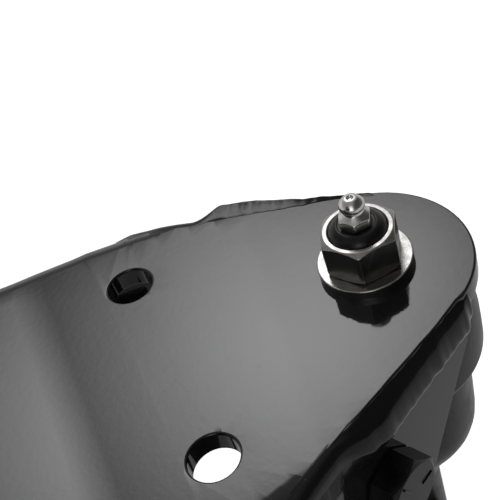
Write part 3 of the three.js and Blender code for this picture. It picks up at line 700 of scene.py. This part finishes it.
def gusset(name, sx, side, word):
    """The plate under a tapered edge; its front edge slopes back under the nose."""
    low = (FLANGE_BOTTOM - FOOT_TOP) / MM
    points = [(-1.5, -5), (-1.5, -18), (37, low), (75.6, low), (75.6, -5)]
    hole = circle(40 * MM, -27.5 * MM, 6.6 * MM, 24)
    bm = sheet([Vector(p) * MM for p in points], [hole] if word == "inner" else [], STRAP, 0.5 * MM)
    warp(bm, lambda p: on_taper(p.x, GUSSET_FACE - STRAP + p.z, p.y, name, sx, side))
    weigh(settle(f"{word}_gusset_{name}", bm, "base", "gloss_black", [f"gusset_{word}_{name}"]))


# distance along the taper, and in its cross section: start on the strap, crest out and down,
# toe down, all in mm
TAPER_WELD = [
    (-4, 26.8, 27.6, -0.8, -8.0),
    (-2, 26.6, 28.9, -1.8, -12.6),
    (2, 27.0, 30.1, -2.6, -14.7),
    (10, 27.7, 30.0, -3.0, -14.4),
    (20, 26.4, 29.8, -3.3, -14.5),
    (30, 25.6, 29.7, -3.5, -14.9),
    (38, 25.1, 30.0, -3.2, -14.0),
    (46, 25.4, 29.2, -2.7, -13.0),
    (56, 23.6, 28.2, -2.4, -12.0),
    (78, 22.5, 27.5, -2.0, -11.5),
]
# the outer weld of each foot is laid on heavier, up over the strap: distance along, crest out and up, in mm
OUTER_CREST = [(-4, 27.0, -0.4), (0, 28.3, 0.2), (10, 28.5, 0.5), (17, 29.1, 0.6), (26, 30.3, 0.6),
               (35, 31.3, 0.7), (44, 31.3, 0.7), (50, 29.9, 0.5), (58, 28.0, -1.2), (78, 27.5, -2.0)]
WELD_CORNER_R = 3.5


def strap_surface(along, out):
    """How far the strap's top has turned down at a place by the taper, in mm."""
    x = out * TAPER_NORMAL.x - along * TAPER_NORMAL.y
    y = out * TAPER_NORMAL.y + along * TAPER_NORMAL.x
    over = max(0.0, min(1.0, (y - between(FLAT_WIDTH, x)[0]) / (BEND_R / MM)))
    return (math.sqrt(1 - over * over) - 1) * BEND_R / MM


def weld_section(near, crest, drop, toe):
    """Filled corner: a facet from the strap to a round crest, then in to the toe on the gusset."""
    face = GUSSET_FACE / MM
    return [
        (near - 0.7, -0.4),
        (near, 0.04),
        (near + 0.35 * (crest - near), 0.30 * drop),
        (near + 0.70 * (crest - near), 0.62 * drop),
        (crest, drop),
        (crest + 0.5, 0.82 * drop + 0.18 * toe),
        (crest + 0.8, 0.60 * drop + 0.40 * toe),
        (crest + 0.8, 0.40 * drop + 0.60 * toe),
        (0.6 * crest + 0.4 * face + 0.3, 0.18 * drop + 0.82 * toe),
        (face + 0.4, 0.04 * drop + 0.96 * toe),
        (face, toe),
    ]


def corner_section(along, near, toe):
    """Where the weld has run out: the strap's bend carried on round the corner on to the gusset."""
    face = GUSSET_FACE / MM
    turn = face - WELD_CORNER_R
    top = strap_surface(along, turn) + 0.04
    points = [(near - 0.7, strap_surface(along, near) - 0.5), (near, strap_surface(along, near) + 0.03)]
    points.append((turn, top))
    for i in range(1, 6):
        t = math.pi / 10 * i
        points.append((turn + WELD_CORNER_R * math.sin(t), top - WELD_CORNER_R * (1 - math.cos(t))))
    low = top - WELD_CORNER_R
    return points + [(face, low + (toe - low) * t) for t in (0.33, 0.67, 1.0)]


def rounded(points, rounds=2):
    """Cuts the corners of a section so that it runs smoothly; its ends stay."""
    for _ in range(rounds):
        inner = []
        for (ax, az), (bx, bz) in zip(points, points[1:]):
            inner += [(ax + (bx - ax) * t, az + (bz - az) * t) for t in (0.25, 0.75)]
        points = [points[0]] + inner + [points[-1]]
    return points


def taper_weld(name, sx, side, word, seed):
    """The corner weld along a tapered edge; towards the shoulder it runs out into the smooth bend."""
    start, end = TAPER_WELD[0][0], TAPER_WELD[-1][0]
    face = GUSSET_FACE / MM
    rows = []
    count = 164
    for i in range(count + 1):
        s = start + (end - start) * i / count
        near, crest, drop, toe = between(TAPER_WELD, s)
        if word == "outer":
            crest, drop = between(OUTER_CREST, s)
        rough = max(0.0, min(1.0, (50 - s) / 12, (s + 4) / 4))
        slow = noise.noise(Vector((s * 0.17, seed, 0.3)))
        quick = noise.noise(Vector((s * 0.42, seed + 7, 0.8)))
        near += rough * (0.55 * slow + 0.3 * quick)
        toe += rough * (0.9 * noise.noise(Vector((s * 0.25, seed + 3, 0.1))) + 0.45 * quick)
        crest += rough * (0.45 * slow - 0.2 * quick)
        section = weld_section(near, crest, drop + rough * 0.3 * quick, toe)
        away = max(0.0, min(1.0, (s - 43) / 10))
        away = away * away * (3 - 2 * away)
        smooth = corner_section(s, min(near, face - WELD_CORNER_R - 0.5), toe)
        row = [(a + (c - a) * away, b + (d - b) * away) for (a, b), (c, d) in zip(section, smooth)]
        row = rounded(row) + [(face - 3, toe), (near - 2.0, -3.0)]
        rows.append([on_taper(s * MM, out * MM, z * MM, name, sx, side) for out, z in row])
    settle(f"{word}_taper_weld_{name}", skin(rows), "base", "gloss_black", finish=WELD_PAINT, sharp=60)


def barrel(name):
    top = -STRAP
    profile = [(6.6 * MM, top), (24.6 * MM, top), (25.4 * MM, -9 * MM), (26.2 * MM, -13 * MM)]
    profile += [(26.9 * MM, -17 * MM), (27.3 * MM, -21 * MM), (27.4 * MM, -26 * MM)]
    profile += fillet(24.2 * MM, BARREL_END + 3.2 * MM, 3.2 * MM, 0, -90, 7)
    profile += [(6.6 * MM, BARREL_END), (6.6 * MM, top)]
    bm = spin(lambda angle: profile, 96, foot_place(name))
    weigh(settle(f"bearing_barrel_{name}", bm, "base", "cast_black", [f"anchor_barrel_{name}"]))


def anchor(name, turn):
    """Threaded shaft, bell, stem and tee, which turn together."""
    floor_z = -FOOT_TOP
    bell = [(0, floor_z), (6.6 * MM, floor_z), (7.1 * MM, floor_z + 0.5 * MM), (7.1 * MM, -95 * MM)]
    rows = [(7.6, -93.6), (8.8, -90), (10.7, -86), (12.9, -82), (15.2, -78), (17.5, -74)]
    rows += [(19.3, -71), (20.8, -68), (21.7, -65), (22.1, -61), (22.3, -54), (22.3, -40)]
    bell += [(r * MM, z * MM) for r, z in rows]
    bell += fillet(20.8 * MM, BARREL_END - 2.1 * MM, 1.5 * MM, 0, 90) + [(6.35 * MM, BARREL_END - 0.6 * MM)]
    lip = [(6.9, 11.2), (7.55, 11.9), (7.7, 12.7), (7.5, 13.5), (6.9, 14.3), (6.0, 15.0)]
    lip += [(5.3, 15.35), (5.0, 15.3), (4.8, 15.1), (0, 15.1)]

    def ring(angle):
        screw = thread(6.35 * MM, 0.75 * MM, -2 * MM, 10.6 * MM, 1.95 * MM, angle)
        return bell + [(6.35 * MM, -3 * MM)] + screw + [(r * MM, z * MM) for r, z in lip]

    bm = spin(ring, 72, foot_place(name))
    settle(f"anchor_{name}_turned", bm, f"anchor_{name}", "black_steel", [f"anchor_{name}"], sharp=38)
    tee_top = 12 * MM
    outline = []
    for sy in (1, -1):
        outline += [Vector((7.2 * MM * math.cos(t), sy * 18.8 * MM + 7.2 * MM * math.sin(t))) for t in
                    [math.radians(a) + (0 if sy > 0 else math.pi) for a in range(0, 181, 12)]]
    bm = sheet(outline, [], tee_top, 1.2 * MM)
    centre = FOOT[name]
    warp(bm, lambda p: Vector((p.x + centre.x, p.y + centre.y, p.z)))
    weigh(settle(f"anchor_{name}_tee", bm, f"anchor_{name}", "black_steel"))


def lever(name, sx):
    start, length = 9.4 * MM, 108.6 * MM
    profile = [(0, 0), (6 * MM, 0), (6 * MM, length - 8.2 * MM)]
    profile += fillet(0, length, 9 * MM, -62, 90, 16) + [(0, length + 9 * MM)]
    place = aim(Vector((FOOT[name].x - sx * start, FOOT[name].y, FOOT_TOP - 78 * MM)), (-sx, 0, 0))
    bm = spin(lambda angle: profile, 40, place)
    weigh(settle(f"lever_{name}", bm, f"anchor_{name}", "bright_zinc", [f"anchor_lever_{name}"]))


def washer_bm(inner, outer, height, place, sides=72):
    edge = 0.35 * MM
    profile = [(inner, 0), (outer - 0.1 * MM, 0)] + fillet(outer - edge, height - edge, edge, 0, 90)
    profile += [(inner + 0.2 * MM, height), (inner, height - 0.2 * MM), (inner, 0)]
    return spin(lambda angle: profile, sides, place)


def nut_bm(flats, height, bore, place, turn=0.0, mouth=0.9 * MM, pitch=1.95 * MM):
    """A chamfered hex nut with its thread, standing on place."""
    crown = flats / 2 * 0.965

    def ring(angle):
        reach = hex_reach(flats, angle, turn)
        drop = (reach - crown) * math.tan(math.radians(30))
        outside = [(bore + mouth, 0), (crown, 0), (reach, drop), (reach, height - drop), (crown, height)]
        inside = thread(bore, -0.7 * MM, mouth, height - mouth, pitch, angle)
        return outside + [(bore + mouth, height)] + list(reversed(inside)) + [(bore + mouth, 0)]

    return spin(ring, 96, place)


def grease_fitting_bm(place, turn):
    """Hex base, neck and the nipple with its check ball; place is the foot of the hex."""
    flats = 7.94 * MM
    top = 3.1 * MM
    nipple = [(3.4, 3.45), (2.75, 4.1), (2.65, 4.7), (2.95, 5.1), (3.3, 5.4), (3.36, 5.8)]
    nipple += [(3.34, 6.5), (3.1, 7.0), (2.55, 7.7), (1.9, 8.35), (1.6, 8.5), (1.0, 8.55)]
    nipple += [(0.8, 8.35), (0.7, 7.9), (0.45, 7.95), (0, 8.1)]
    crown = flats / 2 * 0.94

    def ring(angle):
        reach = hex_reach(flats, angle, turn)
        drop = (reach - crown) * math.tan(math.radians(38))
        base = [(0, 0), (crown, 0), (reach, drop * 0.5), (reach, top - drop), (crown, top)]
        return base + [(r * MM, z * MM) for r, z in nipple]

    return spin(ring, 72, place)


def bolt_head_bm(flats, height, place, turn=0.0, shank=0.0, length=0.0):
    """A hex head with its washer face and shank, its underside at place."""
    crown = flats / 2 * 0.96

    def ring(angle):
        reach = hex_reach(flats, angle, turn)
        drop = (reach - crown) * math.tan(math.radians(30))
        below = [(0, -length), (shank * 0.8, -length), (shank, -length + shank * 0.2), (shank, 0)]
        head = [(crown, 0), (crown, 0.5 * MM), (reach, 0.5 * MM), (reach, height - drop), (crown, height)]
        return (below if shank else [(0, 0)]) + head + [(0, height)]

    return spin(ring, 96, place)


def grade_marks(name, place, radius, body, slot="black_steel"):
    """Three short raised bars on a bolt head, the usual strength grade."""
    bm = bmesh.new()
    for i in range(3):
        turn = Matrix.Rotation(TAU * i / 3, 4, "Z")
        bar = bmesh.ops.create_cube(bm, size=1.0)["verts"]
        size = Matrix.Diagonal((radius * 0.5, 0.7 * MM, 0.5 * MM, 1))
        shape = Matrix.Translation((radius * 0.62, 0, 0.1 * MM)) @ size
        bmesh.ops.transform(bm, matrix=place @ turn @ shape, verts=bar)
    soften(settle(name, bm, body, slot), 0.15 * MM)


def side_bolt(name, sx, side):
    out = (on_taper(0, 1, 0, name, sx, side) - on_taper(0, 0, 0, name, sx, side)).normalized()
    seat = on_taper(40 * MM, GUSSET_FACE, -27.5 * MM, name, sx, side)
    place = aim(seat, out)
    flats = 17.46 * MM
    bm = bolt_head_bm(flats, 8.0 * MM, place, math.radians(12), 6.35 * MM, 22 * MM)
    inner = aim(on_taper(40 * MM, GUSSET_FACE - STRAP, -27.5 * MM, name, sx, side), -out)
    piece = settle(f"side_bolt_{name}_head", bm, "base", "black_steel", [f"side_bolt_{name}"])
    soften(piece, 0.2 * MM)
    nut = settle(f"side_bolt_{name}_nut", nut_bm(flats, 8 * MM, 6.4 * MM, inner), "base", "black_steel")
    soften(nut, 0.2 * MM)
    grade_marks(f"side_bolt_{name}_marks", place @ Matrix.Translation((0, 0, 8.0 * MM)), 8.5 * MM, "base")


WASHER_CLEAR = 0.06 * MM  # turns with the anchor, just clear of the strap


def foot(name, sx, sy, index):
    turn = math.radians(2.5) if index == 0 else math.radians(17.0 * index)
    body = f"anchor_{name}"
    for word, side in (("outer", sy), ("inner", -sy)):
        gusset(name, sx, side, word)
        taper_weld(name, sx, side, word, index * 2.0 + side)
    barrel(name)
    anchor(name, turn)
    lever(name, sx)
    side_bolt(name, sx, -sy)
    seat = foot_place(name) @ Matrix.Translation((0, 0, WASHER_CLEAR))
    washer = washer_bm(6.9 * MM, 12.8 * MM, 2.7 * MM - WASHER_CLEAR, seat)
    weigh(settle(f"plain_washer_{name}", washer, body, "bright_zinc", [f"washer_{name}"]))
    place = foot_place(name) @ Matrix.Translation((0, 0, 2.7 * MM))
    nut = nut_bm(19.05 * MM, 10.6 * MM, 6.4 * MM, place, turn, 1.7 * MM)
    soften(settle(f"hex_nut_{name}", nut, body, "bright_zinc", [f"nut_{name}"]), 0.22 * MM)
    place = foot_place(name) @ Matrix.Translation((0, 0, 15.2 * MM))
    fitting = grease_fitting_bm(place, turn)
    node = f"grease_fitting_{name}"
    nipple = settle(f"grease_nipple_{name}", fitting, body, "bright_zinc", [node], FITTING_ZINC)
    soften(nipple, 0.1 * MM)


for index, (name, sx, sy) in enumerate(FEET):
    foot(name, sx, sy, index)


# ------------------------------------------------------------------ tower


def seam(name, body, start, end, out, wide=3.2 * MM, seed=0.0):
    """A fillet weld in the corner between two faces, from start to end, facing out."""
    start, end, out = Vector(start), Vector(end), Vector(out).normalized()
    up = (end - start).normalized().cross(out)
    bm = bead([start, end], out, up, wide, wide, seed)
    settle(name, bm, body, "gloss_black", finish=WELD_PAINT, sharp=75)


def rail_bolt(name, x, y):
    """M16 bolt through a rail's lower flange and the beam's top, with washers and a nut below."""
    seat = Matrix.Translation((x, y, RAIL_FLANGE_TOP))
    under = Matrix.Translation((x, y, BEAM_TOP - STRAP)) @ Matrix.Rotation(math.pi, 4, "X")
    length = RAIL_FLANGE_TOP - BEAM_TOP + STRAP + 24 * MM
    for word, place in (("washer", seat), ("lower_washer", under)):
        washer = washer_bm(8.5 * MM, 15 * MM, 3 * MM, place)
        weigh(settle(f"{name}_{word}", washer, "base", "bright_zinc"))
    above = seat @ Matrix.Translation((0, 0, 3 * MM))
    head = bolt_head_bm(24 * MM, 10 * MM, above, x + y, 8 * MM, length)
    soften(settle(f"{name}_head", head, "base", "bright_zinc"), 0.3 * MM)
    below = under @ Matrix.Translation((0, 0, 3 * MM))
    nut = nut_bm(24 * MM, 13 * MM, 8 * MM, below, x - y, pitch=2 * MM)
    soften(settle(f"{name}_nut", nut, "base", "bright_zinc"), 0.3 * MM)
    top = above @ Matrix.Translation((0, 0, 10 * MM))
    grade_marks(f"{name}_marks", top, 10 * MM, "base", "bright_zinc")


def rails_and_supports():
    for word, sx in SIDES:
        for end, sy in ENDS:
            rail_bolt(f"rail_bolt_{end}_{word}", sx * 112 * MM, sy * FOOT_Y)
            low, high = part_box(f"roll_support_{end}")
            x = sx * (high[0] - 0.4 * MM)
            for face, y, out in (("near", low[1], -1), ("far", high[1], 1)):
                place = ((x, y, RAIL_FLANGE_TOP + 1 * MM), (x, y, RAIL_HIGH[2] - 3 * MM))
                name = f"support_weld_{end}_{word}_{face}"
                seam(name, "base", *place, (-sx, out, 0), 3.6 * MM, sx + 2 * sy)


def cradle_welds():
    low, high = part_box("cradle")
    top = middle("roll_pin").z + 25 * MM
    arm = high[0] - 12 * MM
    for word, sx in SIDES:
        x = sx * arm
        ends = (("front", high[1]), ("rear", low[1]))
        span = ((x, -34 * MM, top), (x, 34 * MM, top))
        seam(f"cradle_weld_{word}_top", "cradle", *span, (-sx, 0, 1), 3.6 * MM, sx)
        for end, y in ends:
            out = math.copysign(1, y)
            inner = y - out * 0.6 * MM
            span = ((x, inner, low[2] + 3 * MM), (x, inner, top - 3 * MM))
            seam(f"cradle_weld_{word}_{end}", "cradle", *span, (-sx, out * 0.2, 0), 2.6 * MM, sx * 3 + out)


def head_welds():
    low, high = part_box("head_frame")
    z = high[2] - 0.3 * MM
    window = middle("cam_pin").y - 28 * MM
    rear = low[1] + 4 * MM
    walls = [
        ("right", (high[0], rear, z), (high[0], high[1] - 4 * MM, z), (1, 0, -1)),
        ("left", (low[0], rear, z), (low[0], window, z), (-1, 0, -1)),
        ("front", (27 * MM, high[1], z), (high[0] - 4 * MM, high[1], z), (0, 1, -1)),
    ]
    for seed, (wall, start, end, out) in enumerate(walls, 1):
        seam(f"head_weld_{wall}", "head", start, end, out, 3.4 * MM, seed)
    keeper_low, keeper_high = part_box("keeper_plate")
    for word, sx in SIDES:
        x = sx * (keeper_high[0] - 0.3 * MM)
        spans = (("rear", keeper_low[1] + 3 * MM, -28 * MM), ("front", 28 * MM, keeper_high[1] - 5 * MM))
        for end, y0, y1 in spans:
            place = ((x, y0, keeper_low[2]), (x, y1, keeper_low[2]))
            seam(f"keeper_weld_{word}_{end}", "head", *place, (-sx, 0, -1), 3.2 * MM, sx + y0)


def ribbed_grip():
    """Moulded sleeve: shallow finger ribs, a flange by the arm and a domed end."""
    low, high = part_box("handle_grip")
    radius = (high[1] - low[1]) / 2
    length = high[0] - low[0]
    place = aim((high[0], middle("handle_grip").y, middle("handle_grip").z), (-1, 0, 0))
    profile = [(8.4 * MM, 0.0), (radius - 0.8 * MM, 0.0), (radius, 0.8 * MM), (radius, 4 * MM)]
    steps = 96
    start, end = 6 * MM, length - 8 * MM
    for i in range(steps + 1):
        t = i / steps
        dip = 0.5 - 0.5 * math.cos(TAU * t * 8)
        profile.append((radius - 0.9 * MM - 1.0 * MM * dip, start + (end - start) * t))
    profile += fillet(radius - 6.5 * MM, length - 6 * MM, 6 * MM, 0, 90, 8) + [(0, length)]
    profile = [(0, 0.0)] + profile
    settle("ribbed_grip", spin(lambda angle: profile, 56, place), "handle", "red_grip", ["handle_grip"])


def wound_spring():
    """Return spring on the cam pin, as a round wire."""
    low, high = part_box("handle_spring")
    wire = 1.5 * MM
    radius = (high[0] - low[0]) / 2 - wire
    centre = middle("handle_spring")
    turns = 4
    rise = high[2] - low[2] - 2 * wire
    rows = []
    for i in range(turns * 40 + 1):
        angle = TAU * i / 40
        outward = Vector((math.cos(angle), math.sin(angle), 0))
        along = Vector((-math.sin(angle), math.cos(angle), rise / turns / TAU / radius)).normalized()
        place = centre + outward * radius
        place.z = low[2] + wire + rise * i / (turns * 40)
        up = outward.cross(along)
        ring = [(math.cos(TAU * j / 12), math.sin(TAU * j / 12)) for j in range(12)]
        rows.append([place + (outward * c + up * d) * wire * 0.97 for c, d in ring])
    settle("wound_spring", skin(rows), "head", "bare_steel", ["handle_spring"], sharp=70)


def pull_pin():
    """Locking pin with a rounded nose, a collar and a pull ring."""
    low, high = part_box("safety_pin")
    centre = middle("safety_pin")
    seat = low[2] + 34 * MM
    r = 3.97 * MM
    profile = [(0, low[2])] + fillet(r - 2 * MM, low[2] + 2 * MM, 2 * MM, -90, 0) + [(r, seat)]
    profile += [(7.4 * MM, seat + 0.05 * MM)] + fillet(7.4 * MM, seat + 0.65 * MM, 0.55 * MM, -60, 0)
    profile += fillet(7.1 * MM, seat + 3.1 * MM, 0.8 * MM, 0, 90)
    profile += [(3.6 * MM, seat + 3.95 * MM), (3.2 * MM, seat + 6 * MM), (0, seat + 6.4 * MM)]
    place = Matrix.Translation((centre.x, centre.y, 0))
    settle("pull_pin", spin(lambda angle: profile, 40, place), "safety_pin", "bright_zinc", ["safety_pin"])
    wire = 2.2 * MM
    ring_r = 9.9 * MM - wire
    loop = fillet(0, 0, wire, 0, 360, 15)[:-1]
    bm = bmesh.new()
    columns = []
    for i in range(48):
        angle = TAU * i / 48
        spoke = Vector((math.cos(angle), 0, math.sin(angle)))
        hub = Vector((centre.x, centre.y, high[2] - 10 * MM))
        columns.append([bm.verts.new(hub + spoke * (ring_r + a) + Vector((0, b, 0))) for a, b in loop])
    for a, b in zip(columns, columns[1:] + columns[:1]):
        for j in range(len(a)):
            k = (j + 1) % len(a)
            bm.faces.new((a[j], a[k], b[k], b[j]))
    settle("pull_ring", bm, "safety_pin", "bright_zinc")


RAIL_LOW, RAIL_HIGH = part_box("centre_rail_right")
RAIL_FLANGE_TOP = RAIL_LOW[2] + 8 * MM

rails_and_supports()
cradle_welds()
head_welds()
ribbed_grip()
wound_spring()
pull_pin()


# ------------------------------------------------------------------ pieces that keep their CAD shape


def dress(node, edge=0.9 * MM):
    """Gives a CAD node its finish, smooth shading and rounded edges."""
    piece = frame["nodes"][node]
    slots = {row["node"]: row["material_slot"] for row in frame["record"]["subparts"]}
    piece.data.materials.clear()
    piece.data.materials.append(FINISH[slots[node]])
    tidy = piece.modifiers.new("flat faces", "DECIMATE")
    tidy.decimate_type = "DISSOLVE"
    tidy.angle_limit = math.radians(0.6)
    soften(piece, edge, 3)


replaced = {"front_beam_channel", "rear_beam_channel", "handle_grip", "handle_spring", "safety_pin"}
for name, _, _ in FEET:
    replaced |= {f"gusset_outer_{name}", f"gusset_inner_{name}", f"anchor_barrel_{name}", f"anchor_{name}"}
    replaced |= {f"anchor_lever_{name}", f"side_bolt_{name}", f"washer_{name}", f"nut_{name}"}
    replaced.add(f"grease_fitting_{name}")
for node in frame["nodes"]:
    if node not in replaced:
        dress(node)
